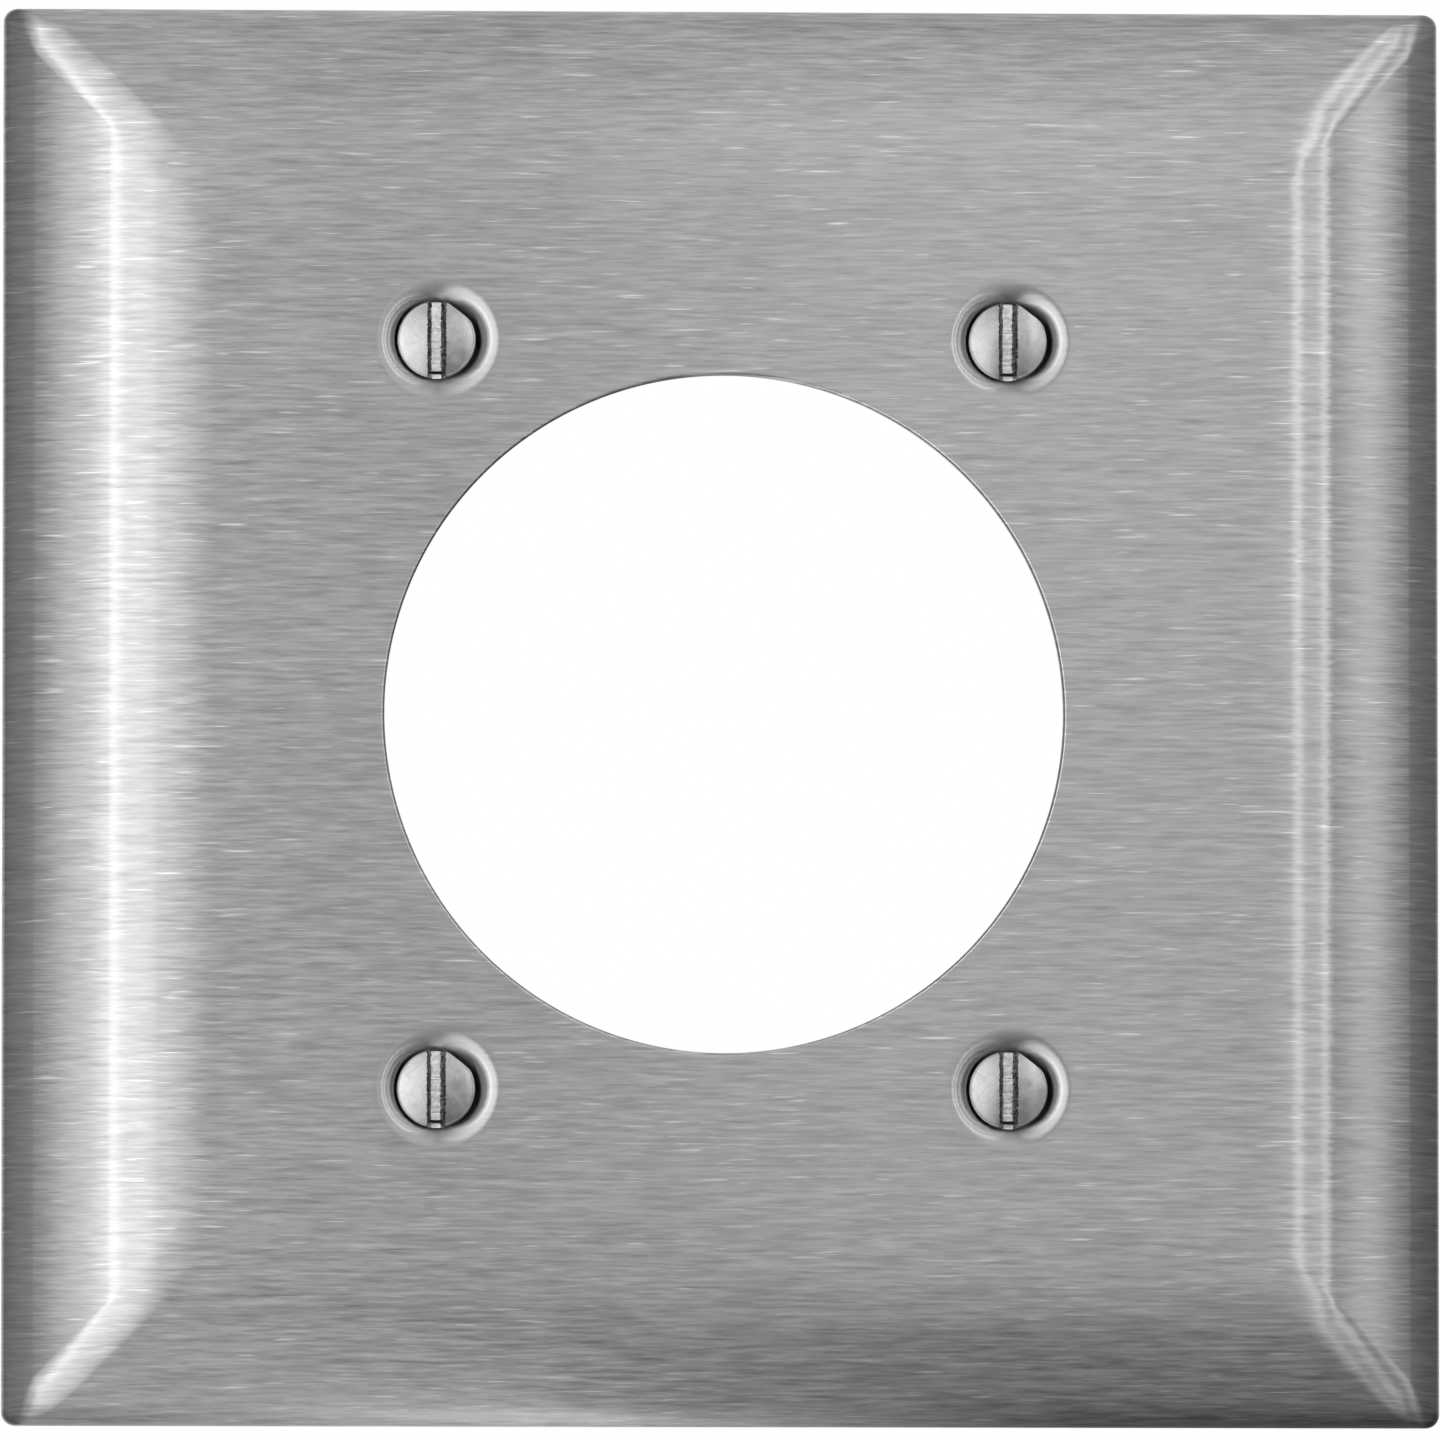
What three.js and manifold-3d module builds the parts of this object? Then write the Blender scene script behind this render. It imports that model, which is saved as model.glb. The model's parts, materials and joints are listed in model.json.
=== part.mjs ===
// Two-gang stainless steel wall plate for a round power outlet.
//
// One pressed plate, four slotted oval-head screws, and behind the plate the four soft washers
// that keep the screws captive. Millimetres: X runs to the right, Z runs up, the face looks
// along -Y, and the rim rests on the wall at Y = 0, with the plate's centre at the origin.

import * as THREE from 'three';
import { mergeVertices } from 'three/addons/utils/BufferGeometryUtils.js';
import Module from 'manifold-3d';

const wasm = await Module();
wasm.setup();

const INCH = 25.4;

// Plate
const PLATE_WIDTH = 4.56 * INCH;
const PLATE_HEIGHT = 4.5 * INCH;
const PLATE_DEPTH = 0.22 * INCH;
const SHEET_THICKNESS = 0.8;
const OUTLET_HOLE_RADIUS = (2.15 / 2) * INCH;
const HOLE_EDGE_ROUND = 0.3;

// The plate's corners are tight at the rim and widen inwards to the corner of the pressed form.
const RIM_CORNER_RADIUS = 1.1;
const FORM_CORNER_RADIUS = 6;
const CORNER_WIDENING_INSET = 5;
const SMALLEST_CORNER_RADIUS = 0.3;

// The border of the plate, from the rim inwards. Over each stretch's run across the plate the
// slope changes from `outer` to `inner` degrees along an arc.
const BORDER = [
  { stretch: 'roll at the rim', run: 1.12, outer: 90, inner: 26, steps: 4 },
  { stretch: 'broad bevel', run: 7.28, outer: 26, inner: 16, steps: 3 },
  { stretch: 'outer crease', run: 1.6, outer: 16, inner: 10, steps: 2 },
  { stretch: 'narrow strip', run: 0.9, outer: 10, inner: 9, steps: 1 },
  { stretch: 'inner crease', run: 1.5, outer: 9, inner: 4, steps: 2 },
  { stretch: 'lead-in from the flat face', run: 4.6, outer: 4, inner: 0, steps: 2 },
];

// Screw places, and the pressed and countersunk dimples they sit in
const SCREW_SPACING_X = 1.812 * INCH;
const SCREW_SPACING_Z = 2.375 * INCH;
const DIMPLE_RADIUS = 5;
const DIMPLE_BEND_RADIUS = 2.55;
const COUNTERSINK_ANGLE = 82;
const CLEARANCE_HOLE_RADIUS = 2.15;

// Oval-head machine screw, 6-32 x 1/2 inch. It sits a little left and low in its hole.
const SCREW_PLAY_X = -0.14;
const SCREW_PLAY_Z = -0.12;
const HEAD_RADIUS = 3.05;
const HEAD_EDGE_DEPTH = 0.45;
const HEAD_LAND = 0.12;
const HEAD_DOME_HEIGHT = 0.55;
const SLOT_WIDTH = 1.2;
const SLOT_DEPTH = 1.1;
const THREAD_RADIUS = (0.138 / 2) * INCH;
const SCREW_LENGTH = 0.5 * INCH;
const TIP_CHAMFER = 0.5;

// Captive washer
const WASHER_BORE_RADIUS = 2.05;
const WASHER_RADIUS = 3.8;
const WASHER_THICKNESS = 0.8;
const WASHER_CORNER = 0.15;
const SCREW_TRAVEL = 1.5;
const WASHER_CLEARANCE = 0.3;

// Fineness of the round shapes
const CORNER_STEPS = 6;
const HOLE_SEGMENTS = 96;
const HOLE_EDGE_STEPS = 2;
const DIMPLE_SEGMENTS = 32;
const DIMPLE_BEND_STEPS = 4;
const SCREW_SEGMENTS = 32;
const DOME_STEPS = 5;
const WASHER_SEGMENTS = 32;

const FACE_Y = -PLATE_DEPTH;
const CONE_SLOPE = 90 - COUNTERSINK_ANGLE / 2;
const CUT_MARGIN = 1;

const sin = (degrees) => Math.sin(THREE.MathUtils.degToRad(degrees));
const cos = (degrees) => Math.cos(THREE.MathUtils.degToRad(degrees));
const tan = (degrees) => Math.tan(THREE.MathUtils.degToRad(degrees));
const steps = (count) => Array.from({ length: count + 1 }, (_, i) => i / count);

// Solids

function volumeOf(position, index) {
  const corner = [new THREE.Vector3(), new THREE.Vector3(), new THREE.Vector3()];
  let volume = 0;
  for (let i = 0; i < index.length; i += 3) {
    corner.forEach((c, k) => c.fromBufferAttribute(position, index[i + k]));
    volume += corner[0].dot(corner[1].cross(corner[2])) / 6;
  }
  return volume;
}

// A closed geometry as a solid: shared corners merged, empty triangles dropped, faces out.
function toSolid(geometry) {
  const bare = geometry.clone();
  bare.deleteAttribute('normal');
  bare.deleteAttribute('uv');
  const merged = mergeVertices(bare, 1e-4);
  const source = merged.index.array;
  const index = [];
  for (let i = 0; i < source.length; i += 3) {
    const [a, b, c] = source.slice(i, i + 3);
    if (a !== b && b !== c && c !== a) {
      index.push(a, b, c);
    }
  }
  if (volumeOf(merged.attributes.position, index) < 0) {
    index.reverse();
  }
  return new wasm.Manifold(new wasm.Mesh({
    numProp: 3,
    vertProperties: new Float32Array(merged.attributes.position.array),
    triVerts: new Uint32Array(index),
  }));
}

function toGeometry(solid) {
  const mesh = solid.getMesh();
  const geometry = new THREE.BufferGeometry();
  geometry.setAttribute('position', new THREE.BufferAttribute(new Float32Array(mesh.vertProperties), 3));
  geometry.setIndex(new THREE.BufferAttribute(new Uint32Array(mesh.triVerts), 1));
  geometry.computeVertexNormals();
  return geometry;
}

// A solid of revolution about a line along Y. The outline is a list of [radius, y].
function turned(outline, segments) {
  const points = outline.map(([radius, y]) => new THREE.Vector2(radius, y));
  return new THREE.LatheGeometry(points, segments);
}

// A solid through a list of rings with equal point counts, capped at both ends.
function lofted(rings) {
  const count = rings[0].length;
  const position = rings.flat().flatMap((p) => [p.x, p.y, p.z]);
  const index = [];
  for (let ring = 0; ring < rings.length - 1; ring += 1) {
    for (let i = 0; i < count; i += 1) {
      const a = ring * count + i;
      const b = ring * count + ((i + 1) % count);
      index.push(a, b, b + count, a, b + count, a + count);
    }
  }
  const last = (rings.length - 1) * count;
  for (let i = 1; i < count - 1; i += 1) {
    index.push(0, i + 1, i, last, last + i, last + i + 1);
  }
  const geometry = new THREE.BufferGeometry();
  geometry.setAttribute('position', new THREE.Float32BufferAttribute(position, 3));
  geometry.setIndex(index);
  return geometry;
}

// Plate

// The rim-to-face outline: how far in from the edge, how high above the wall, and the slope.
function borderOutline() {
  const rise = ({ run, outer, inner }) => (run / (sin(outer) - sin(inner))) * (cos(inner) - cos(outer));
  const footHeight = PLATE_DEPTH - BORDER.reduce((sum, stretch) => sum + rise(stretch), 0);
  const outline = [{ inset: 0, height: 0, slope: 90 }, { inset: 0, height: footHeight, slope: 90 }];
  for (const { run, outer, inner, steps: count } of BORDER) {
    const start = outline.at(-1);
    const radius = run / (sin(outer) - sin(inner));
    for (const t of steps(count).slice(1)) {
      const slope = outer + (inner - outer) * t;
      outline.push({
        inset: start.inset + radius * (sin(outer) - sin(slope)),
        height: start.height + radius * (cos(slope) - cos(outer)),
        slope,
      });
    }
  }
  return outline;
}

function roundedRing(inset, radius, y) {
  const centreX = PLATE_WIDTH / 2 - inset - radius;
  const centreZ = PLATE_HEIGHT / 2 - inset - radius;
  const quarters = [[1, 1], [-1, 1], [-1, -1], [1, -1]];
  return quarters.flatMap(([signX, signZ], quarter) => steps(CORNER_STEPS).map((t) => {
    const angle = 90 * (quarter + t);
    const x = signX * centreX + radius * cos(angle);
    const z = signZ * centreZ + radius * sin(angle);
    return new THREE.Vector3(x, y, z);
  }));
}

function pressedShell() {
  const outline = borderOutline();
  const cornerRadius = (inset) => {
    const widening = 1 - Math.exp(-inset / CORNER_WIDENING_INSET);
    return RIM_CORNER_RADIUS + (FORM_CORNER_RADIUS - RIM_CORNER_RADIUS) * widening;
  };
  const front = outline.map(({ inset, height }) => roundedRing(inset, cornerRadius(inset), -height));
  const back = outline.map(({ inset, height, slope }) => {
    const inwards = SHEET_THICKNESS * sin(slope);
    const radius = Math.max(cornerRadius(inset) - inwards, SMALLEST_CORNER_RADIUS);
    const y = height === 0 ? 0 : -height + SHEET_THICKNESS * cos(slope);
    return roundedRing(inset + inwards, radius, y);
  });
  return toSolid(lofted([...front.reverse(), ...back]));
}

// The cutter for the outlet hole, with the soft edge that punching leaves on the face side.
function outletHoleCutter() {
  const edge = steps(HOLE_EDGE_STEPS).map((t) => [
    OUTLET_HOLE_RADIUS + HOLE_EDGE_ROUND * (1 - sin(90 * t)),
    FACE_Y + HOLE_EDGE_ROUND * (1 - cos(90 * t)),
  ]);
  const widest = OUTLET_HOLE_RADIUS + HOLE_EDGE_ROUND;
  const outline = [[0, FACE_Y - CUT_MARGIN], [widest, FACE_Y - CUT_MARGIN], ...edge,
    [OUTLET_HOLE_RADIUS, CUT_MARGIN], [0, CUT_MARGIN]];
  return toSolid(turned(outline, HOLE_SEGMENTS));
}

// Points on one side of the dimple's bend, `offset` behind the front surface.
function dimpleBend(offset) {
  const radius = DIMPLE_BEND_RADIUS - offset;
  return steps(DIMPLE_BEND_STEPS).map((t) => {
    const slope = CONE_SLOPE * t;
    return [DIMPLE_RADIUS - radius * sin(slope), FACE_Y + DIMPLE_BEND_RADIUS - radius * cos(slope)];
  });
}

function dimpleFloorY() {
  const [mouthRadius, mouthY] = dimpleBend(0).at(-1);
  return mouthY + (mouthRadius - CLEARANCE_HOLE_RADIUS) * tan(CONE_SLOPE);
}

function dimpleBackY() {
  return dimpleFloorY() + SHEET_THICKNESS * cos(CONE_SLOPE);
}

function dimpleBoss() {
  const floorRadius = CLEARANCE_HOLE_RADIUS + SHEET_THICKNESS * sin(CONE_SLOPE);
  const insideSheet = FACE_Y + SHEET_THICKNESS / 2;
  const outline = [[0, insideSheet], [DIMPLE_RADIUS, insideSheet], ...dimpleBend(SHEET_THICKNESS),
    [floorRadius, dimpleBackY()], [0, dimpleBackY()]];
  return turned(outline, DIMPLE_SEGMENTS);
}

function dimpleCutter() {
  const outline = [[0, FACE_Y - CUT_MARGIN], [DIMPLE_RADIUS, FACE_Y - CUT_MARGIN], ...dimpleBend(0),
    [CLEARANCE_HOLE_RADIUS, dimpleFloorY()], [CLEARANCE_HOLE_RADIUS, CUT_MARGIN], [0, CUT_MARGIN]];
  return turned(outline, DIMPLE_SEGMENTS);
}

function plateGeometry(places) {
  let plate = pressedShell();
  for (const { x, z } of places) {
    plate = plate.add(toSolid(dimpleBoss().translate(x, 0, z)));
    plate = plate.subtract(toSolid(dimpleCutter().translate(x, 0, z)));
  }
  return toGeometry(plate.subtract(outletHoleCutter()));
}

// Screw, with its axis on the Y axis

const HEAD_EDGE_Y = FACE_Y + HEAD_EDGE_DEPTH;

function screwGeometry() {
  const domeRadius = (HEAD_RADIUS ** 2 + HEAD_DOME_HEIGHT ** 2) / (2 * HEAD_DOME_HEIGHT);
  const domeTopY = HEAD_EDGE_Y - HEAD_LAND - HEAD_DOME_HEIGHT;
  const dome = steps(DOME_STEPS).map((t) => {
    const radius = HEAD_RADIUS * t;
    return [radius, domeTopY + domeRadius - Math.sqrt(domeRadius ** 2 - radius ** 2)];
  });
  const tipY = HEAD_EDGE_Y + SCREW_LENGTH;
  const neckY = HEAD_EDGE_Y + (HEAD_RADIUS - THREAD_RADIUS) * tan(CONE_SLOPE);
  const outline = [...dome, [HEAD_RADIUS, HEAD_EDGE_Y], [THREAD_RADIUS, neckY],
    [THREAD_RADIUS, tipY - TIP_CHAMFER], [THREAD_RADIUS - TIP_CHAMFER, tipY], [0, tipY]];
  const slot = new THREE.BoxGeometry(SLOT_WIDTH, 2 * SLOT_DEPTH, 4 * HEAD_RADIUS).translate(0, domeTopY, 0);
  return toGeometry(toSolid(turned(outline, SCREW_SEGMENTS)).subtract(toSolid(slot)));
}

// Captive washer, with its axis on the Y axis, one screw travel behind the back of the dimple

function washerGeometry() {
  const front = dimpleBackY() + SCREW_TRAVEL + WASHER_CLEARANCE;
  const back = front + WASHER_THICKNESS;
  const shoulder = WASHER_RADIUS - WASHER_CORNER;
  const outline = [[WASHER_BORE_RADIUS, front], [shoulder, front], [WASHER_RADIUS, front + WASHER_CORNER],
    [WASHER_RADIUS, back - WASHER_CORNER], [shoulder, back], [WASHER_BORE_RADIUS, back],
    [WASHER_BORE_RADIUS, front]];
  return toGeometry(toSolid(turned(outline, WASHER_SEGMENTS)));
}

// Assembly

const brushedSteel = new THREE.MeshStandardMaterial({ color: 0xa3a3a4, roughness: 0.38, metalness: 1 });
const screwSteel = new THREE.MeshStandardMaterial({ color: 0xb4b4b2, roughness: 0.3, metalness: 1 });
const nylon = new THREE.MeshStandardMaterial({ color: 0xe6e2d6, roughness: 0.55, metalness: 0 });

function named(name, geometry, material, x = 0, z = 0) {
  const mesh = new THREE.Mesh(geometry, material);
  mesh.name = name;
  mesh.position.set(x, 0, z);
  return mesh;
}

const screwPlaces = ['top', 'bottom'].flatMap((row) => ['left', 'right'].map((column) => ({
  corner: `${row}_${column}`,
  x: (column === 'left' ? -1 : 1) * (SCREW_SPACING_X / 2),
  z: (row === 'top' ? 1 : -1) * (SCREW_SPACING_Z / 2),
})));

const wallPlate = new THREE.Group();
wallPlate.add(named('plate', plateGeometry(screwPlaces), brushedSteel));
for (const { corner, x, z } of screwPlaces) {
  const axisX = x + SCREW_PLAY_X;
  const axisZ = z + SCREW_PLAY_Z;
  wallPlate.add(named(`screw_${corner}`, screwGeometry(), screwSteel, axisX, axisZ));
  wallPlate.add(named(`captive_washer_${corner}`, washerGeometry(), nylon, axisX, axisZ));
}

export default wallPlate;
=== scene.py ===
"""Two-gang brushed stainless steel wall plate: the visible model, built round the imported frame.

The pressed plate, its four slotted oval-head screws and the nylon washers that keep them captive,
with a plain studio. Everything is in metres: X to the right, Z up, the face looks along -Y.
"""

import json
import math
import random

import bmesh
import bpy
import numpy as np
from bpy.props import FloatProperty, FloatVectorProperty, PointerProperty
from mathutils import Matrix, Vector, geometry


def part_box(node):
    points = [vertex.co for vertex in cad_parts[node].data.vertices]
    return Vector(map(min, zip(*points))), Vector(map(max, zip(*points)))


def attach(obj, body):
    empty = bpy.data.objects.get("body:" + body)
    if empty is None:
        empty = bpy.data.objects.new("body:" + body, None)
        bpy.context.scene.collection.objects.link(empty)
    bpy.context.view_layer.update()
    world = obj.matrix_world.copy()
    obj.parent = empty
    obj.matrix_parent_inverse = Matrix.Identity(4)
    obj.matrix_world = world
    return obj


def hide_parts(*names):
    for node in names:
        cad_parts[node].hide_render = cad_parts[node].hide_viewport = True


bl_info = {
    "name": "Stainless wall plate",
    "version": (1, 0, 0),
    "blender": (4, 5, 0),
    "location": "View3D > Sidebar > Wall Plate",
    "description": "Builds a pressed stainless wall plate with its captive screws and washers",
    "category": "Add Mesh",
}

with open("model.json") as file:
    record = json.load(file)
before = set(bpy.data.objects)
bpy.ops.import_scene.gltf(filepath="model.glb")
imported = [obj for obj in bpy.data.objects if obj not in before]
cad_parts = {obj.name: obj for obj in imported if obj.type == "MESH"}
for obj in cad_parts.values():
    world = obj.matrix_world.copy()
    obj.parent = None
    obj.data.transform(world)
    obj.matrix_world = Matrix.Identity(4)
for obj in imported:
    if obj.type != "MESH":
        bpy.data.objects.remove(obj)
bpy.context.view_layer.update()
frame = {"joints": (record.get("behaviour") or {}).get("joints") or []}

MM = 0.001
INCH = 0.0254
SEED = 11

CORNERS = ("top_left", "top_right", "bottom_left", "bottom_right")
PLATE_LOW, PLATE_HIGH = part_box("plate")
PLATE_WIDTH = PLATE_HIGH.x - PLATE_LOW.x
PLATE_HEIGHT = PLATE_HIGH.z - PLATE_LOW.z
PLATE_DEPTH = PLATE_HIGH.y - PLATE_LOW.y
FACE_Y = PLATE_LOW.y


def linear(srgb_hex):
    """The linear RGB of an sRGB hex colour such as "c8c8c6"."""
    values = (int(srgb_hex[i:i + 2], 16) / 255 for i in (0, 2, 4))
    return tuple(v / 12.92 if v <= 0.04045 else ((v + 0.055) / 1.055) ** 2.4 for v in values)


def length_property(name, description, default):
    """A size that the user may change, in metres."""
    return FloatProperty(name=name, description=description, default=default, min=0.0,
                         precision=5, unit="LENGTH", subtype="DISTANCE")


def angle_property(name, description, degrees):
    """An angle that the user may change."""
    return FloatProperty(name=name, description=description, default=math.radians(degrees),
                         unit="ROTATION", subtype="ANGLE")


def colour_property(name, description, srgb_hex):
    """A colour that the user may change."""
    return FloatVectorProperty(name=name, description=description, default=linear(srgb_hex),
                               size=3, min=0.0, max=1.0, subtype="COLOR")


class PlateSettings(bpy.types.PropertyGroup):
    """Sizes and colour of the pressed plate."""

    sheet: length_property("Sheet", "Thickness of the sheet", 0.8 * MM)
    hole_radius: length_property("Outlet hole", "Radius of the outlet hole", 2.15 / 2 * INCH)
    hole_edge: length_property("Hole edge", "Radius of the soft edge that punching leaves", 0.3 * MM)
    sheared_edge: length_property("Sheared edge", "Radius left on the cut edges", 0.1 * MM)
    corner_radius: length_property("Corner", "Radius of the plate's corners at the rim", 1.1 * MM)
    form_radius: length_property("Form corner", "Radius of the pressed form's corners", 2.4 * MM)
    widening: length_property("Corner widening", "Inset over which the corners widen", 1.2 * MM)
    edge_shift: length_property("Edge shift", "How far the form is moved out, top and bottom", 1.0 * MM)
    dimple_radius: length_property("Dimple", "Radius where a screw's dimple starts", 5.0 * MM)
    dimple_bend: length_property("Dimple bend", "Radius of the bend into the countersink", 2.55 * MM)
    countersink: angle_property("Countersink", "Angle of the countersinks", 82)
    clearance_radius: length_property("Clearance hole", "Radius of the screw holes", 2.15 * MM)
    steel: colour_property("Steel", "Colour of the brushed steel", "c6c6c7")


class ScrewSettings(bpy.types.PropertyGroup):
    """Sizes and colour of the oval-head screws."""

    head_radius: length_property("Head", "Radius of the head", 3.15 * MM)
    land: length_property("Land", "Height of the head's straight edge", 0.24 * MM)
    dome: length_property("Dome", "Height of the domed top", 0.42 * MM)
    length: length_property("Length", "From the head's edge to the tip", 0.5 * INCH)
    thread_radius: length_property("Thread", "Outside radius of the thread", 0.138 / 2 * INCH)
    pitch: length_property("Pitch", "Distance between threads, 32 to the inch", INCH / 32)
    slot_width: length_property("Slot width", "Width of the driver slot at the top", 1.34 * MM)
    slot_floor: length_property("Slot floor", "Width of the driver slot at its floor", 0.74 * MM)
    slot_depth: length_property("Slot depth", "Depth of the driver slot below the dome", 1.1 * MM)
    slot_tilt: angle_property("Slot tilt", "How far the slot's floor leans from one end to the other", 7)
    steel: colour_property("Steel", "Colour of the screws' steel", "a6a6a6")


class WasherSettings(bpy.types.PropertyGroup):
    """Sizes and colour of the captive washers."""

    bore_play: length_property("Bore play", "Room between the bore and the thread", 0.14 * MM)
    edge: length_property("Edge", "Radius of the moulded edges", 0.18 * MM)
    nylon: colour_property("Nylon", "Colour of the nylon", "e9e5d9")


class StudioSettings(bpy.types.PropertyGroup):
    """Camera and light of the studio."""

    distance: length_property("Camera distance", "From the plate to the camera", 2.0)
    azimuth: angle_property("Camera azimuth", "Round from the front, to the right", -2.7)
    elevation: angle_property("Camera elevation", "Above the plate's middle", -4.0)
    frame_width: length_property("Frame width", "What the picture takes in at the plate", 0.11607)
    floor_drop: length_property("Floor drop", "From the plate's middle down to the floor", 0.17)
    floor: colour_property("Floor", "Colour of the floor", "e8e8e6")


# Shape


class Skin:
    """Points, normals and faces of one closed piece, gathered before they become a mesh."""

    def __init__(self):
        self.points = []
        self.normals = []
        self.grain = []
        self.faces = []
        self.finishes = []

    def add_points(self, points, normals, grain=None):
        """Adds a grid of points and gives back their indices in the same grid."""
        first = len(self.points)
        self.points.extend(points.reshape(-1, 3).tolist())
        self.normals.extend(normals.reshape(-1, 3).tolist())
        self.grain.extend((points if grain is None else grain).reshape(-1, 3).tolist())
        return np.arange(first, len(self.points)).reshape(points.shape[:-1])

    def join(self, ids, finish=0, closed=False):
        """Joins the rows of a grid of indices with quads. Each row is a closed ring."""
        following = np.roll(ids, -1, axis=0) if closed else ids[1:]
        for row, after in zip(ids, following):
            quads = np.stack([row, np.roll(row, -1), np.roll(after, -1), after], axis=1)
            self.faces.extend(quads.tolist())
            self.finishes.extend([finish] * len(quads))

    def fan(self, ring, centre, normal, finish=0):
        """Closes a ring with a fan of triangles round a centre point."""
        middle = self.add_points(np.array([centre]), np.array([normal]))[0]
        for a, b in zip(ring.tolist(), np.roll(ring, -1).tolist()):
            self.faces.append([a, b, int(middle)])
            self.finishes.append(finish)

    def mesh(self, name, materials):
        """The mesh, with its faces turned outwards."""
        mesh = bpy.data.meshes.new(name)
        mesh.from_pydata(self.points, [], self.faces)
        mesh.polygons.foreach_set("material_index", self.finishes)
        for material in materials:
            mesh.materials.append(material)
        grain = mesh.attributes.new("grain", "FLOAT_VECTOR", "POINT")
        grain.data.foreach_set("vector", np.array(self.grain, np.float32).ravel())
        turn_faces_out(mesh)
        mesh.polygons.foreach_set("use_smooth", [True] * len(mesh.polygons))
        return mesh


def turn_faces_out(mesh):
    """Makes every face of a closed mesh look outwards."""
    work = bmesh.new()
    work.from_mesh(mesh)
    bmesh.ops.recalc_face_normals(work, faces=work.faces)
    work.to_mesh(mesh)
    work.free()
    mesh.update()


def smooth_normals(rings, outward):
    """Normals of a grid of closed rings, on the side that outward points to."""
    around = np.roll(rings, -1, axis=1) - np.roll(rings, 1, axis=1)
    across = np.gradient(rings, axis=0)
    normals = np.cross(around, across)
    normals /= np.maximum(np.linalg.norm(normals, axis=2, keepdims=True), 1e-12)
    sides = np.sign((normals * outward).sum(axis=2, keepdims=True))
    return normals * np.where(sides == 0, 1, sides)


def add_piece(mesh, body, nodes):
    """Puts a mesh in the scene as the piece that stands for CAD nodes on a body."""
    piece = bpy.data.objects.new(mesh.name, mesh)
    bpy.context.scene.collection.objects.link(piece)
    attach(piece, body)
    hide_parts(*nodes)
    return piece


def circle(count):
    """Angles round a circle, in radians."""
    return np.linspace(0, 2 * math.pi, count, endpoint=False)


def turned(outline, columns, x=0.0, z=0.0, reach=None):
    """Rings round an axis along Y from a list of (radius, y). reach limits the radius per angle."""
    angle = circle(columns)
    outline = np.array(outline)
    radius = np.repeat(outline[:, :1], columns, axis=1)
    if reach is not None:
        radius = np.minimum(radius, reach)
    y = np.repeat(outline[:, 1:], columns, axis=1)
    return np.stack([x + radius * np.cos(angle), y, z + radius * np.sin(angle)], axis=2)


# Plate

# The border from the rim inwards: its run across the plate in millimetres, the slope in degrees
# at its outer and inner end, and how many steps it is made in.
BORDER = (
    (0.45, 90, 43, 10),
    (2.15, 43, 23, 12),
    (5.8, 23, 16, 12),
    (1.6, 16, 10, 10),
    (0.9, 10, 9, 3),
    (1.5, 9, 4, 10),
    (4.6, 4, 0, 12),
)
# Insets over which the shift of the top and bottom edges builds up, and from which it fades.
SHIFT_BUILDS = 1.3 * MM
SHIFT_FADES = 8.4 * MM
# No row of the border turns its corners more sharply than this.
SMALLEST_CORNER = 0.3 * MM
CORNER_STEPS = 18
HOLE_COLUMNS = 256
DIMPLE_COLUMNS = 96
FRONT_FINISH, EDGE_FINISH, BACK_FINISH = range(3)


def border_profile():
    """The border from the rim inwards as rows of inset, height above the wall and slope."""
    rows = [(0.0, 0.0, math.pi / 2)]
    for run, outer, inner, count in BORDER:
        start_inset, start_height, _ = rows[-1]
        outer, inner = math.radians(outer), math.radians(inner)
        bend = run * MM / (math.sin(outer) - math.sin(inner))
        for step in range(1, count + 1):
            slope = outer + (inner - outer) * step / count
            rows.append((start_inset + bend * (math.sin(outer) - math.sin(slope)),
                         start_height + bend * (math.cos(slope) - math.cos(outer)), slope))
    profile = np.array(rows)
    profile[:, 1] += PLATE_DEPTH - profile[-1, 1]
    return profile


def quarter_round(centre, radius, start):
    """Rows of inset, height and slope on a quarter circle whose slope starts at start."""
    slopes = start + np.linspace(0, math.pi / 2, 5)
    inset, height = centre[0] - radius * np.sin(slopes), centre[1] + radius * np.cos(slopes)
    return np.stack([inset, height, slopes], axis=1)


def edge_shifts(plate, inset):
    """How much nearer the rim each row lies along the top and bottom than along the sides."""
    builds = 1 - np.exp(-inset / SHIFT_BUILDS)
    fades = np.clip((inset - SHIFT_FADES) / (inset.max() - SHIFT_FADES), 0, 1)
    return plate.edge_shift * builds * (1 + np.cos(math.pi * fades)) / 2


def rounded_rings(inset, radius, height, shift):
    """Rounded rectangles, one per row, and the plan direction in which each point faces."""
    turn = np.linspace(0, math.pi / 2, CORNER_STEPS + 1)
    rings, facing = [], []
    for quarter, (sign_x, sign_z) in enumerate(((1, 1), (-1, 1), (-1, -1), (1, -1))):
        angle = turn + quarter * math.pi / 2
        x = sign_x * (PLATE_WIDTH / 2 - inset - radius)[:, None] + radius[:, None] * np.cos(angle)
        middle_z = sign_z * (PLATE_HEIGHT / 2 - inset + shift - radius)
        z = middle_z[:, None] + radius[:, None] * np.sin(angle)
        y = np.repeat(-height[:, None], len(angle), axis=1)
        rings.append(np.stack([x, y, z], axis=2))
        facing.append(np.stack([np.cos(angle), np.zeros_like(angle), np.sin(angle)], axis=1))
    return np.concatenate(rings, axis=1), np.concatenate(facing)


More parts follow.
